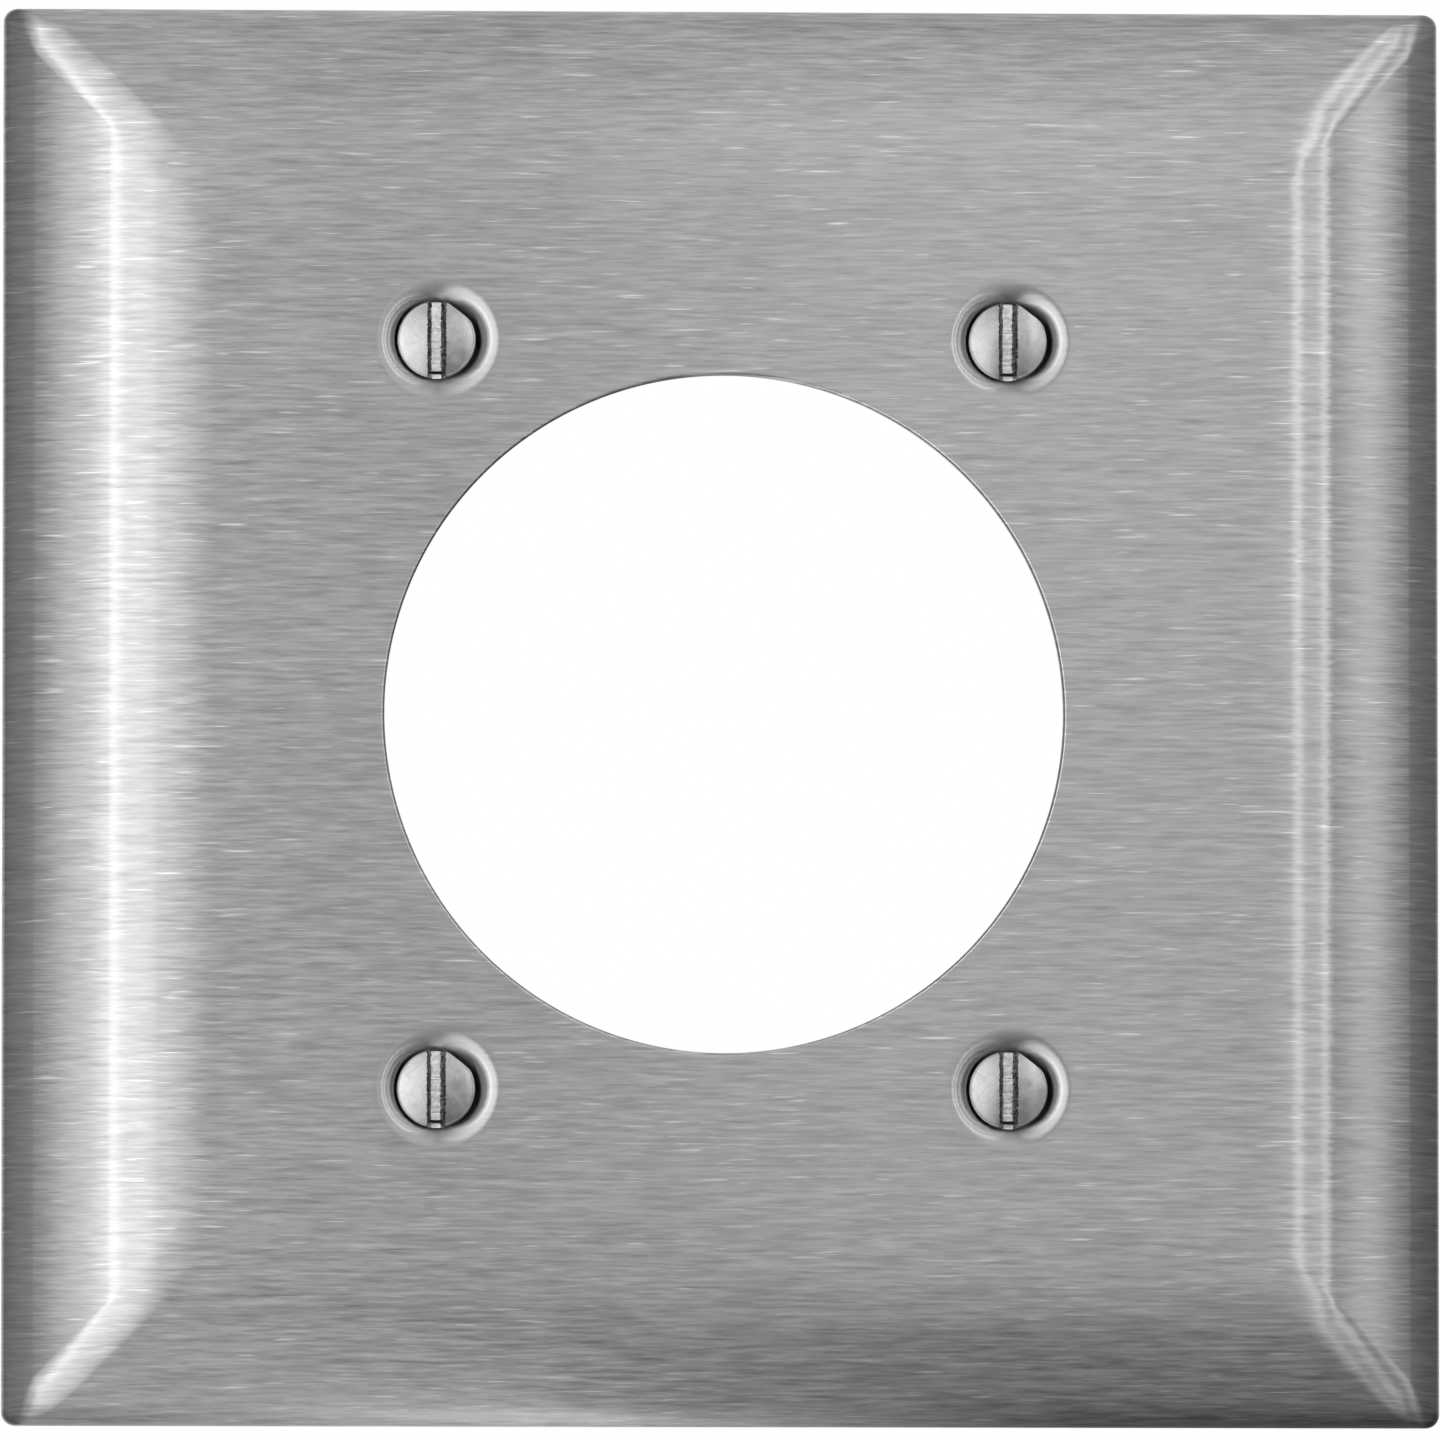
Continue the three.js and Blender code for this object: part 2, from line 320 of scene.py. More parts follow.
def add_border(skin, plate):
    """The border, front and back, from the flat face round the rim. Gives the two flat rings."""
    front = border_profile()[::-1]
    unfolded = np.concatenate([[0], np.cumsum(np.hypot(np.diff(front[:, 0]), np.diff(front[:, 1])))])
    stretch = unfolded - (front[0, 0] - front[:, 0])
    edge, sheet = plate.sheared_edge, plate.sheet
    foot = np.concatenate([
        quarter_round((edge, edge), edge, math.pi / 2),
        quarter_round((sheet - edge, edge), edge, math.pi),
    ])
    back = np.stack([front[:, 0] + sheet * np.sin(front[:, 2]), front[:, 1] - sheet * np.cos(front[:, 2]),
                     front[:, 2] + math.pi], axis=1)[::-1]
    rows = np.concatenate([front, foot, back])
    widening = 1 - np.exp(-front[:, 0] / plate.widening)
    front_radius = plate.corner_radius + (plate.form_radius - plate.corner_radius) * widening
    back_radius = front_radius - sheet * np.sin(front[:, 2])
    radius = np.concatenate([front_radius, plate.corner_radius - foot[:, 0], back_radius[::-1]])
    front_shift = edge_shifts(plate, front[:, 0])
    shift = np.concatenate([front_shift, np.zeros(len(foot)), front_shift[::-1]])
    extra = np.concatenate([stretch, np.full(len(foot), stretch[-1]), stretch[::-1]])
    rings, facing = rounded_rings(rows[:, 0], np.maximum(radius, SMALLEST_CORNER), rows[:, 1], shift)
    slope = rows[:, 2, None, None]
    outward = facing * np.sin(slope) - np.array([0, 1, 0]) * np.cos(slope)
    normals = smooth_normals(rings, outward)
    normals[0], normals[-1] = (0, -1, 0), (0, 1, 0)
    ids = skin.add_points(rings, normals, rings + facing * extra[:, None, None])
    edge_start, edge_end = len(front) - 1, len(front) + len(foot)
    skin.join(ids[:edge_start + 1], FRONT_FINISH)
    skin.join(ids[edge_start:edge_end + 1], EDGE_FINISH)
    skin.join(ids[edge_end:], BACK_FINISH)
    return ids[0], ids[-1]


def add_through_hole(skin, outline, outward, columns, x, z, edge_rows):
    """A round hole through the sheet. Gives its two flat rings."""
    rings = turned(outline, columns, x, z)
    spokes = turned(outward, columns)
    normals = smooth_normals(rings, spokes)
    normals[0], normals[-1] = (0, -1, 0), (0, 1, 0)
    ids = skin.add_points(rings, normals)
    start, end = edge_rows
    skin.join(ids[:start + 1], FRONT_FINISH)
    skin.join(ids[start:end + 1], EDGE_FINISH)
    skin.join(ids[end:], BACK_FINISH)
    return ids[0], ids[-1]


def add_outlet_hole(skin, plate):
    """The punched hole: a soft edge in front, a straight wall, a small burr-free edge behind."""
    soft, small, radius = plate.hole_edge, plate.sheared_edge, plate.hole_radius
    quarter = np.linspace(0, math.pi / 2, 9)
    front = [(radius + soft - soft * math.sin(a), FACE_Y + soft - soft * math.cos(a)) for a in quarter]
    back_y = FACE_Y + plate.sheet
    back = [(radius + small - small * math.cos(a), back_y - small + small * math.sin(a))
            for a in quarter[::2]]
    outline = front + back
    outward = [(-math.sin(a), -math.cos(a)) for a in quarter]
    outward += [(-math.cos(a), math.sin(a)) for a in quarter[::2]]
    return add_through_hole(skin, outline, outward, HOLE_COLUMNS, 0.0, 0.0, (8, len(outline) - 1))


def dimple_outline(plate):
    """The dimple's section, from the face down the countersink, through the hole and back up behind."""
    cone = math.pi / 2 - plate.countersink / 2
    bend, sheet, hole = plate.dimple_bend, plate.sheet, plate.clearance_radius
    slopes = np.linspace(0, cone, 17)
    front = [(plate.dimple_radius - bend * math.sin(a), FACE_Y + bend - bend * math.cos(a)) for a in slopes]
    mouth_radius, mouth_y = front[-1]
    floor_y = mouth_y + (mouth_radius - hole) * math.tan(cone)
    edge = plate.sheared_edge
    lip = [(hole + edge * (1 - math.sin(a)), floor_y - edge * math.cos(a))
           for a in np.linspace(cone, math.pi / 2, 4)]
    back_y = floor_y + sheet * math.cos(cone)
    wall = [(hole, floor_y + edge), (hole, back_y - edge), (hole + edge, back_y)]
    inner = bend - sheet
    back = [(plate.dimple_radius - inner * math.sin(a), FACE_Y + bend - inner * math.cos(a))
            for a in slopes[::-1]]
    bottom_radius = hole + sheet * math.sin(cone)
    bottom = [(bottom_radius - edge, back_y), (bottom_radius + edge / 2, back_y - edge)]
    return front + lip + wall + bottom + back, len(front) - 1, len(front) + len(lip) + 2


def add_dimple(skin, plate, x, z):
    """One pressed and countersunk screw hole. Gives its two flat rings."""
    outline, front_end, back_start = dimple_outline(plate)
    line = np.array(outline)
    along = np.gradient(line, axis=0)
    outward = np.stack([-along[:, 1], along[:, 0]], axis=1)
    return add_through_hole(skin, outline, outward, DIMPLE_COLUMNS, x, z, (front_end, back_start))


def ring_limit(radius, columns):
    """A radius between the middles of the triangles just inside a ring and just outside it."""
    return radius * (2 + math.cos(2 * math.pi / columns)) / 3


def fill_flat(skin, outer, holes, hole_circles, finish):
    """Triangles between an outer ring and the round holes in it, all in one plane."""
    used = np.concatenate([outer, *holes])
    flat = [Vector((skin.points[i][0], skin.points[i][2])) for i in used.tolist()]
    _, _, triangles, _, _, _ = geometry.delaunay_2d_cdt(flat, [], [], 0, 1e-9)
    for triangle in triangles:
        centre = sum((flat[i] for i in triangle), Vector((0, 0))) / 3
        if all((centre - Vector(middle)).length > radius for middle, radius in hole_circles):
            skin.faces.append([int(used[i]) for i in triangle])
            skin.finishes.append(finish)


def screw_axes():
    """A point on each screw's axis, from its hinge in the frame."""
    hinges = {j["child"]: j["pos_m"] for j in frame["joints"] if j["type"] == "hinge"}
    return {corner: hinges[f"screw_{corner}"] for corner in CORNERS}


def dimple_centres():
    """The dimples stand evenly round the plate's middle, on the screws' mean spacing."""
    axes = screw_axes().values()
    half_x = sum(abs(a[0] - sum(b[0] for b in axes) / 4) for a in axes) / 4
    half_z = sum(abs(a[2] - sum(b[2] for b in axes) / 4) for a in axes) / 4
    return [(sx * half_x, sz * half_z) for sx in (-1, 1) for sz in (-1, 1)]


def build_plate(plate):
    """The whole pressed plate as one closed mesh with smooth normals of its own."""
    skin = Skin()
    outer_front, outer_back = add_border(skin, plate)
    rings = [add_outlet_hole(skin, plate)]
    circles = [((0, 0), ring_limit(plate.hole_radius + plate.hole_edge, HOLE_COLUMNS))]
    for x, z in dimple_centres():
        rings.append(add_dimple(skin, plate, x, z))
        circles.append(((x, z), ring_limit(plate.dimple_radius, DIMPLE_COLUMNS)))
    fill_flat(skin, outer_front, [front for front, _ in rings], circles, FRONT_FINISH)
    fill_flat(skin, outer_back, [back for _, back in rings], circles, BACK_FINISH)
    finishes = (brushed_stainless(plate.steel), sheared_stainless(plate.steel), mill_stainless(plate.steel))
    mesh = skin.mesh("pressed_plate", finishes)
    mesh.normals_split_custom_set_from_vertices(skin.normals)
    return add_piece(mesh, "plate", ["plate"])


# Screws

SCREW_COLUMNS = 96
THREAD_STEPS_PER_TURN = 10
# The thread's depth and its run-in and run-out, as shares of the pitch, and how much of each
# turn its flat crest and its flat root take.
THREAD_DEPTH = 0.6
THREAD_RUN_IN = 1.2
THREAD_RUN_OUT = 0.7
CREST_SHARE = 0.12
# Before the thread starts, the shank is thinner by this share of the thread's depth.
SHANK_SHARE = 0.35
# The head's cone meets the shank at this share of the thread's radius.
NECK_SHARE = 0.93
TIP_CHAMFER_LENGTH = 0.12 * MM
TIP_CHAMFER_DEPTH = 0.15 * MM
HEAD_EDGE_ROUND = 0.06 * MM
# One side of the head's edge is flat: the direction it faces, and half the angle it takes.
TRIM_DIRECTION = math.radians(52)
TRIM_HALF_WIDTH = math.radians(22)
# The crown of each head leans a little to the left.
CROWN_LEAN = math.radians(2)
HEAD, SLOT_WALL, SLOT_FLOOR = range(3)
# How far the cutter passes the head's edge, in head radii, and how many sections it has.
CUTTER_REACH = 1.15
CUTTER_SECTIONS = 73
SLOT_CHAMFER = 0.1 * MM
# How far the saw strays on the walls and on the floor.
WALL_STRAY = 0.045 * MM
FLOOR_STRAY = 0.02 * MM
# The heading die leaves a low ridge round the head, just inside its edge.
RIDGE_HEIGHT = 0.02 * MM
RIDGE_PLACE = 0.965
RIDGE_SPREAD = 0.018
# The saw leaves a burr across the slot's lower end: where it starts, and how deep it lies.
BURR_START = 0.89
BURR_DEPTH = 0.14 * MM


def thread_rings(screw, x, z, start_y, end_y):
    """The shank with a right-hand 60 degree thread that runs out at both ends."""
    depth = THREAD_DEPTH * screw.pitch
    rows = int((end_y - start_y) / screw.pitch * THREAD_STEPS_PER_TURN)
    y = np.linspace(start_y, end_y, rows)
    angle = circle(SCREW_COLUMNS)
    turn = y[:, None] / screw.pitch + angle[None, :] / (2 * math.pi)
    wave = np.abs((turn % 1.0) * 2 - 1)
    groove = np.clip((wave - CREST_SHARE) / (1 - 2 * CREST_SHARE), 0, 1) * depth
    fade_in = np.clip((y - start_y) / (THREAD_RUN_IN * screw.pitch), 0, 1)[:, None]
    radius = screw.thread_radius - groove * fade_in - (1 - fade_in) * SHANK_SHARE * depth
    to_tip = np.clip((end_y - y) / (THREAD_RUN_OUT * screw.pitch), 0, 1)[:, None]
    radius = np.minimum(radius, screw.thread_radius - depth * (1 - to_tip))
    y_grid = np.repeat(y[:, None], SCREW_COLUMNS, axis=1)
    return np.stack([x + radius * np.cos(angle), y_grid, z + radius * np.sin(angle)], axis=2)


def head_rings(screw, x, z, edge_y, cone_slope):
    """The head from its neck to near the top of the dome. One side of its rim is trimmed flat."""
    radius, neck = screw.head_radius, screw.thread_radius * NECK_SHARE
    soft = HEAD_EDGE_ROUND
    cone = [(neck + (radius - soft - neck) * t, edge_y + (radius - neck) * (1 - t) * math.tan(cone_slope))
            for t in np.linspace(0, 1, 8)]
    land_y = edge_y - screw.land
    rim = [(radius, edge_y - soft), (radius, land_y + soft)]
    dome_radius = (radius ** 2 + screw.dome ** 2) / (2 * screw.dome)
    dome = []
    for t in (*np.linspace(0.99, 0.9, 12), *np.linspace(0.88, 0.04, 24)):
        rise = math.sqrt(dome_radius ** 2 - (radius * t) ** 2) - (dome_radius - screw.dome)
        ridge = RIDGE_HEIGHT * math.exp(-((t - RIDGE_PLACE) / RIDGE_SPREAD) ** 2)
        dome.append((radius * t, land_y - rise - ridge))
    angle = circle(SCREW_COLUMNS)
    off_trim = np.abs((angle - TRIM_DIRECTION + math.pi) % (2 * math.pi) - math.pi)
    reach = np.where(off_trim < TRIM_HALF_WIDTH,
                     radius * math.cos(TRIM_HALF_WIDTH) / np.cos(np.minimum(off_trim, 1.2)), radius)
    rings = turned(cone + rim + dome, SCREW_COLUMNS, x, z, reach)
    crown = rings[len(cone) + 1:]
    crown[:, :, 1] -= (crown[:, :, 0] - x) * math.tan(CROWN_LEAN)
    return rings, land_y - screw.dome


def slot_cutter(screw, x, z, top_y, materials):
    """A bar that cuts the driver slot. Its edges follow the dome with a small burred chamfer."""
    burr = random.Random(SEED)
    half, floor_half, chamfer = screw.slot_width / 2, screw.slot_floor / 2, SLOT_CHAMFER
    floor_y = top_y + screw.slot_depth
    dome_radius = (screw.head_radius ** 2 + screw.dome ** 2) / (2 * screw.dome)
    stations = []
    reach = CUTTER_REACH * screw.head_radius
    for along in np.linspace(-reach, reach, CUTTER_SECTIONS):
        within = min(math.hypot(along, half), screw.head_radius)
        surface_y = top_y + dome_radius - math.sqrt(dome_radius ** 2 - within ** 2)
        left, right, foot_left, foot_right = (burr.uniform(-WALL_STRAY, WALL_STRAY) for _ in range(4))
        low = floor_y - along * math.tan(screw.slot_tilt) + burr.uniform(-FLOOR_STRAY, FLOOR_STRAY)
        if along < -BURR_START * screw.head_radius:
            low = surface_y + BURR_DEPTH
        above_y, edge_y = surface_y - 5 * chamfer, surface_y + chamfer
        section = [(-half - left - 6 * chamfer, above_y), (-half - left, edge_y),
                   (-floor_half - foot_left, low), (floor_half + foot_right, low),
                   (half + right, edge_y), (half + right + 6 * chamfer, above_y)]
        stations.append([(x + dx, y, z + along) for dx, y in section])
    skin = Skin()
    rings = np.array(stations)
    ids = skin.add_points(rings, np.zeros_like(rings))
    skin.join(ids, SLOT_WALL)
    for number in range(len(skin.faces)):
        if number % len(section) in (0, 4, 5):
            skin.finishes[number] = HEAD
        elif number % len(section) == 2:
            skin.finishes[number] = SLOT_FLOOR
    for ring in (0, -1):
        skin.fan(ids[ring], rings[ring].mean(axis=0).tolist(), (0, 0, 1))
    return skin.mesh("slot_cutter", materials)


def cut(mesh, cutter_mesh):
    """The mesh with the cutter's space taken away."""
    body = bpy.data.objects.new("cut_body", mesh)
    cutter = bpy.data.objects.new("cutter", cutter_mesh)
    for made in (body, cutter):
        bpy.context.scene.collection.objects.link(made)
    boolean = body.modifiers.new("slot", "BOOLEAN")
    boolean.operation = "DIFFERENCE"
    boolean.solver = "EXACT"
    boolean.object = cutter
    boolean.material_mode = "INDEX"
    result = bpy.data.meshes.new_from_object(body.evaluated_get(bpy.context.evaluated_depsgraph_get()))
    for made in (body, cutter):
        bpy.data.objects.remove(made)
    return result


def build_screw(screw, corner, materials, cone_slope):
    """One slotted oval-head screw with its thread, on its own axis."""
    axis = screw_axes()[corner]
    _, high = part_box(f"screw_{corner}")
    edge_y = high.y - screw.length
    rings_head, top_y = head_rings(screw, axis[0], axis[2], edge_y, cone_slope)
    neck_y = float(rings_head[0, 0, 1]) + 0.1 * MM
    shank = thread_rings(screw, axis[0], axis[2], neck_y, high.y - TIP_CHAMFER_LENGTH)[::-1]
    skin = Skin()
    tip_radius = screw.thread_radius - THREAD_DEPTH * screw.pitch - TIP_CHAMFER_DEPTH
    tip = turned([(tip_radius, high.y)], SCREW_COLUMNS, axis[0], axis[2])
    rings = np.concatenate([tip, shank, rings_head])
    ids = skin.add_points(rings, np.zeros_like(rings))
    skin.join(ids)
    skin.fan(ids[0], (axis[0], high.y, axis[2]), (0, 1, 0))
    skin.fan(ids[-1], (axis[0], top_y, axis[2]), (0, -1, 0))
    whole = skin.mesh(f"oval_head_screw_{corner}", materials)
    mesh = cut(whole, slot_cutter(screw, axis[0], axis[2], top_y, materials))
    mesh.name = f"oval_head_screw_{corner}"
    mesh.set_sharp_from_angle(angle=math.radians(32))
    return add_piece(mesh, f"screw_{corner}", [f"screw_{corner}"])


# Washers


def build_washer(washer, screw, corner, nylon):
    """One captive washer, its bore cut by the thread it was pushed over."""
    name = f"captive_washer_{corner}"
    low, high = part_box(name)
    x, z = (low.x + high.x) / 2, (low.z + high.z) / 2
    outside = (high.x - low.x) / 2
    bore = screw.thread_radius + washer.bore_play
    edge = washer.edge
    outline, outward = [], []
    corners = ((outside - edge, high.y - edge, 0), (bore + edge, high.y - edge, 1),
               (bore + edge, low.y + edge, 2), (outside - edge, low.y + edge, 3))
    for centre_radius, centre_y, quarter in corners:
        for a in np.linspace(0, math.pi / 2, 6) + quarter * math.pi / 2:
            outline.append((centre_radius + edge * math.cos(a), centre_y + edge * math.sin(a)))
            outward.append((math.cos(a), math.sin(a)))
    rings = turned(outline, SCREW_COLUMNS, x, z)
    skin = Skin()
    ids = skin.add_points(rings, turned(outward, SCREW_COLUMNS))
    skin.join(ids, closed=True)
    mesh = skin.mesh(f"nylon_washer_{corner}", [nylon])
    mesh.normals_split_custom_set_from_vertices(skin.normals)
    return add_piece(mesh, name, [name])


# Materials


def add_node(tree, kind, inputs=None, stops=(), **settings):
    """Adds a node with its settings, links and, on a ramp, its stops.

    An input is a value, or another node's output to link. A stop is (position, grey value).
    """
    made = tree.nodes.new(kind)
    for name, value in settings.items():
        setattr(made, name, value)
    for name, value in (inputs or {}).items():
        if isinstance(value, bpy.types.NodeSocket):
            tree.links.new(value, made.inputs[name])
        else:
            made.inputs[name].default_value = value
    if stops:
        elements = made.color_ramp.elements
        while len(elements) < len(stops):
            elements.new(0.5)
        for element, (position, value) in zip(elements, stops):
            element.position = position
            element.color = (value, value, value, 1)
    return made


def new_material(name):
    """An empty material with its output node."""
    material = bpy.data.materials.new(name)
    material.use_nodes = True
    material.node_tree.nodes.clear()
    output = material.node_tree.nodes.new("ShaderNodeOutputMaterial")
    return material, material.node_tree, output


def streaks(tree, place, size, detail, seed):
    """Noise drawn out along X into streaks of a real length and width, both in metres."""
    length, width = size
    # Noise has about one feature per unit, so the scale is one over the size.
    stretched = add_node(tree, "ShaderNodeMapping", {
        "Vector": place, "Scale": (1 / length, 0.0, 1 / width), "Location": (seed, seed, seed)})
    noise = add_node(tree, "ShaderNodeTexNoise", {
        "Vector": stretched.outputs["Vector"], "Scale": 1.0, "Detail": detail, "Roughness": 0.6})
    return noise.outputs["Fac"]


# A 180 grit belt leaves scratches about 0.05 mm wide. They're drawn some five times coarser, so
# that they show. Each pair is the length and the width of a streak.
FINE_STREAK = (3.2 * MM, 0.25 * MM)
BROAD_STREAK = (9 * MM, 0.5 * MM)
# Hairlines along which painted glints are added to the steel's colour.
GLINT_HAIRLINE_STREAK = (4 * MM, 0.2 * MM)
SWAY_STREAK = (3 * MM, 0.14 * MM)
# Rolling lines on the back of the sheet.
ROLLING_LINE = (30 * MM, 0.35 * MM)
# How far the scratches lean to one side or the other, as a slope. It frays the edges of the bands.
GRAIN_SWAY = 0.02
# The belt passes over the dimples: the grain fades towards an even tone between these radii.
DIMPLE_CALM, DIMPLE_GRAINY = 4.4 * MM, 5.4 * MM
CALM_GRAIN = 0.25
CALM_TONE = 0.42
# The direction across the grain leans a trace towards the wall.
ACROSS_GRAIN = (0.0, 0.03, 1.0)


def brushed_stainless(steel):
    """302 stainless sheet, belt brushed along X.

    The straight scratches blur reflections up and down and leave them sharp from side to side,
    so upright edges of light show as crisp bands. Bright hairline glints are painted into the colour
    along some streaks.
    """
    material, tree, output = new_material("Stainless 302, brushed No. 4")
    place = add_node(tree, "ShaderNodeAttribute", attribute_name="grain").outputs["Vector"]
    fine = streaks(tree, place, FINE_STREAK, 2.0, 3.7)
    broad = streaks(tree, place, BROAD_STREAK, 2.0, 9.1)
    quadrant = add_node(tree, "ShaderNodeVectorMath", {0: place}, operation="ABSOLUTE")
    centre_x, centre_z = dimple_centres()[-1]
    offset = add_node(tree, "ShaderNodeVectorMath", {
        0: quadrant.outputs["Vector"], 1: (centre_x, 0.0, centre_z)}, operation="SUBTRACT")
    level = add_node(tree, "ShaderNodeVectorMath", {0: offset.outputs["Vector"], 1: (1.0, 0.0, 1.0)},
                     operation="MULTIPLY")
    reach = add_node(tree, "ShaderNodeVectorMath", {0: level.outputs["Vector"]}, operation="LENGTH")
    grainy = add_node(tree, "ShaderNodeMapRange", {
        "Value": reach.outputs["Value"], "From Min": DIMPLE_CALM, "From Max": DIMPLE_GRAINY,
        "To Min": CALM_GRAIN, "To Max": 1.0}).outputs["Result"]
    glint_hairlines = streaks(tree, place, GLINT_HAIRLINE_STREAK, 1.0, 21.3)
    whole = add_node(tree, "ShaderNodeMix", {0: 0.35, 2: fine, 3: broad}, data_type="FLOAT").outputs[0]
    both = add_node(tree, "ShaderNodeMix", {0: grainy, 2: CALM_TONE, 3: whole}, data_type="FLOAT").outputs[0]
    tone = add_node(tree, "ShaderNodeValToRGB", {"Fac": both},
                    stops=((0.25, 0.6), (0.5, 0.96), (0.75, 1.36))).outputs["Color"]
    # Painted highlight: bright glints along the hairline streaks, added to the steel's colour and fewer in
    # the dimples.
    painted_glint_mask = add_node(tree, "ShaderNodeMath", {0: glint_hairlines, 1: grainy}, operation="MULTIPLY").outputs[0]
    painted_glints = add_node(tree, "ShaderNodeValToRGB", {"Fac": painted_glint_mask},
                      stops=((0.665, 0.0), (0.80, 0.7))).outputs["Color"]
    lit = add_node(tree, "ShaderNodeMix", {0: 1.0, 6: tone, 7: painted_glints}, data_type="RGBA",
                   blend_type="ADD").outputs[2]
    colour = add_node(tree, "ShaderNodeMix", {0: 1.0, 6: (*steel, 1.0), 7: lit}, data_type="RGBA",
                      blend_type="MULTIPLY").outputs[2]
    rough = add_node(tree, "ShaderNodeMapRange", {
        "Value": both, "From Min": 0.25, "From Max": 0.75, "To Min": 0.27, "To Max": 0.37}).outputs["Result"]
    sway = streaks(tree, place, SWAY_STREAK, 2.0, 33.1)
    lean = add_node(tree, "ShaderNodeMapRange", {
        "Value": sway, "From Min": 0.25, "From Max": 0.75, "To Min": -GRAIN_SWAY, "To Max": GRAIN_SWAY})
    sideways = add_node(tree, "ShaderNodeCombineXYZ", {"X": lean.outputs["Result"]})
    facing = add_node(tree, "ShaderNodeNewGeometry").outputs["Normal"]
    swayed = add_node(tree, "ShaderNodeVectorMath", {0: facing, 1: sideways.outputs["Vector"]},
                      operation="ADD")
    bump = add_node(tree, "ShaderNodeBump", {
        "Height": both, "Strength": 0.5, "Distance": 0.006 * MM, "Normal": swayed.outputs["Vector"]})
    across_grain = add_node(tree, "ShaderNodeCombineXYZ", dict(zip("XYZ", ACROSS_GRAIN)))
    shader = add_node(tree, "ShaderNodeBsdfPrincipled", {
        "Base Color": colour, "Metallic": 1.0, "Roughness": rough, "Anisotropic": 1.0,
        "Normal": bump.outputs["Normal"], "Tangent": across_grain.outputs["Vector"]})
    tree.links.new(shader.outputs["BSDF"], output.inputs["Surface"])
    return material


def sheared_stainless(steel):
    """The sheet's cut edges: torn steel, mottled from the steel's own colour to a lighter one."""
    material, tree, output = new_material("Stainless 302, sheared edge")
    place = add_node(tree, "ShaderNodeTexCoord").outputs["Object"]
    torn = add_node(tree, "ShaderNodeTexNoise", {"Vector": place, "Scale": 1 / (0.15 * MM), "Detail": 4.0})
    tone = add_node(tree, "ShaderNodeValToRGB", {"Fac": torn.outputs["Fac"]},
                    stops=((0.3, 1.0), (0.7, 1.5))).outputs["Color"]
    colour = add_node(tree, "ShaderNodeMix", {0: 1.0, 6: (*steel, 1.0), 7: tone}, data_type="RGBA",
                      blend_type="MULTIPLY").outputs[2]
    bump = add_node(tree, "ShaderNodeBump", {
        "Height": torn.outputs["Fac"], "Strength": 0.5, "Distance": 0.03 * MM})
    shader = add_node(tree, "ShaderNodeBsdfPrincipled", {
        "Base Color": colour, "Metallic": 1.0, "Roughness": 0.32, "Normal": bump.outputs["Normal"]})
    tree.links.new(shader.outputs["BSDF"], output.inputs["Surface"])
    return material


def mill_stainless(steel):
    """The back of the sheet as rolled, 2B: dull, cloudy, with faint rolling lines along X."""
    material, tree, output = new_material("Stainless 302, mill finish 2B")
    place = add_node(tree, "ShaderNodeAttribute", attribute_name="grain").outputs["Vector"]
    clouds = add_node(tree, "ShaderNodeTexNoise", {"Vector": place, "Scale": 1 / (9 * MM), "Detail": 5.0})
    lines = streaks(tree, place, ROLLING_LINE, 3.0, 14.9)
    both = add_node(tree, "ShaderNodeMix", {0: 0.5, 2: clouds.outputs["Fac"], 3: lines},
                    data_type="FLOAT").outputs[0]
    tone = add_node(tree, "ShaderNodeValToRGB", {"Fac": both},
                    stops=((0.3, 0.78), (0.7, 1.0))).outputs["Color"]
    colour = add_node(tree, "ShaderNodeMix", {0: 1.0, 6: (*steel, 1.0), 7: tone}, data_type="RGBA",
                      blend_type="MULTIPLY").outputs[2]
    rough = add_node(tree, "ShaderNodeMapRange", {
        "Value": both, "From Min": 0.3, "From Max": 0.7, "To Min": 0.38, "To Max": 0.5}).outputs["Result"]
    bump = add_node(tree, "ShaderNodeBump", {"Height": lines, "Strength": 0.4, "Distance": 0.006 * MM})
    shader = add_node(tree, "ShaderNodeBsdfPrincipled", {
        "Base Color": colour, "Metallic": 1.0, "Roughness": rough, "Normal": bump.outputs["Normal"]})
    tree.links.new(shader.outputs["BSDF"], output.inputs["Surface"])
    return material


def headed_stainless(steel):
    """Cold-headed 18-8 stainless screws: smooth from the die, mottled and nicked by tumbling."""
    material, tree, output = new_material("Stainless 18-8, cold headed")
    place = add_node(tree, "ShaderNodeTexCoord").outputs["Object"]
    mottle = add_node(tree, "ShaderNodeTexNoise", {"Vector": place, "Scale": 1 / (0.9 * MM), "Detail": 5.0})
    nicks = add_node(tree, "ShaderNodeTexVoronoi", {"Vector": place, "Scale": 1 / (1.1 * MM)},
                     feature="DISTANCE_TO_EDGE")
    nick = add_node(tree, "ShaderNodeValToRGB", {"Fac": nicks.outputs["Distance"]},
                    stops=((0.0, 0.0), (0.05, 1.0))).outputs["Color"]
    tone = add_node(tree, "ShaderNodeValToRGB", {"Fac": mottle.outputs["Fac"]},
                    stops=((0.3, 0.84), (0.7, 1.1))).outputs["Color"]
    worn = add_node(tree, "ShaderNodeMix", {0: 0.12, 6: tone, 7: nick}, data_type="RGBA",
                    blend_type="MULTIPLY").outputs[2]
    colour = add_node(tree, "ShaderNodeMix", {0: 1.0, 6: (*steel, 1.0), 7: worn}, data_type="RGBA",
                      blend_type="MULTIPLY").outputs[2]
    rough = add_node(tree, "ShaderNodeMapRange", {
        "Value": mottle.outputs["Fac"], "From Min": 0.3, "From Max": 0.7, "To Min": 0.16, "To Max": 0.3,
    }).outputs["Result"]
    bump = add_node(tree, "ShaderNodeBump", {
        "Height": mottle.outputs["Fac"], "Strength": 0.5, "Distance": 0.02 * MM})
    shader = add_node(tree, "ShaderNodeBsdfPrincipled", {
        "Base Color": colour, "Metallic": 1.0, "Roughness": rough, "Normal": bump.outputs["Normal"]})
    tree.links.new(shader.outputs["BSDF"], output.inputs["Surface"])
    return material


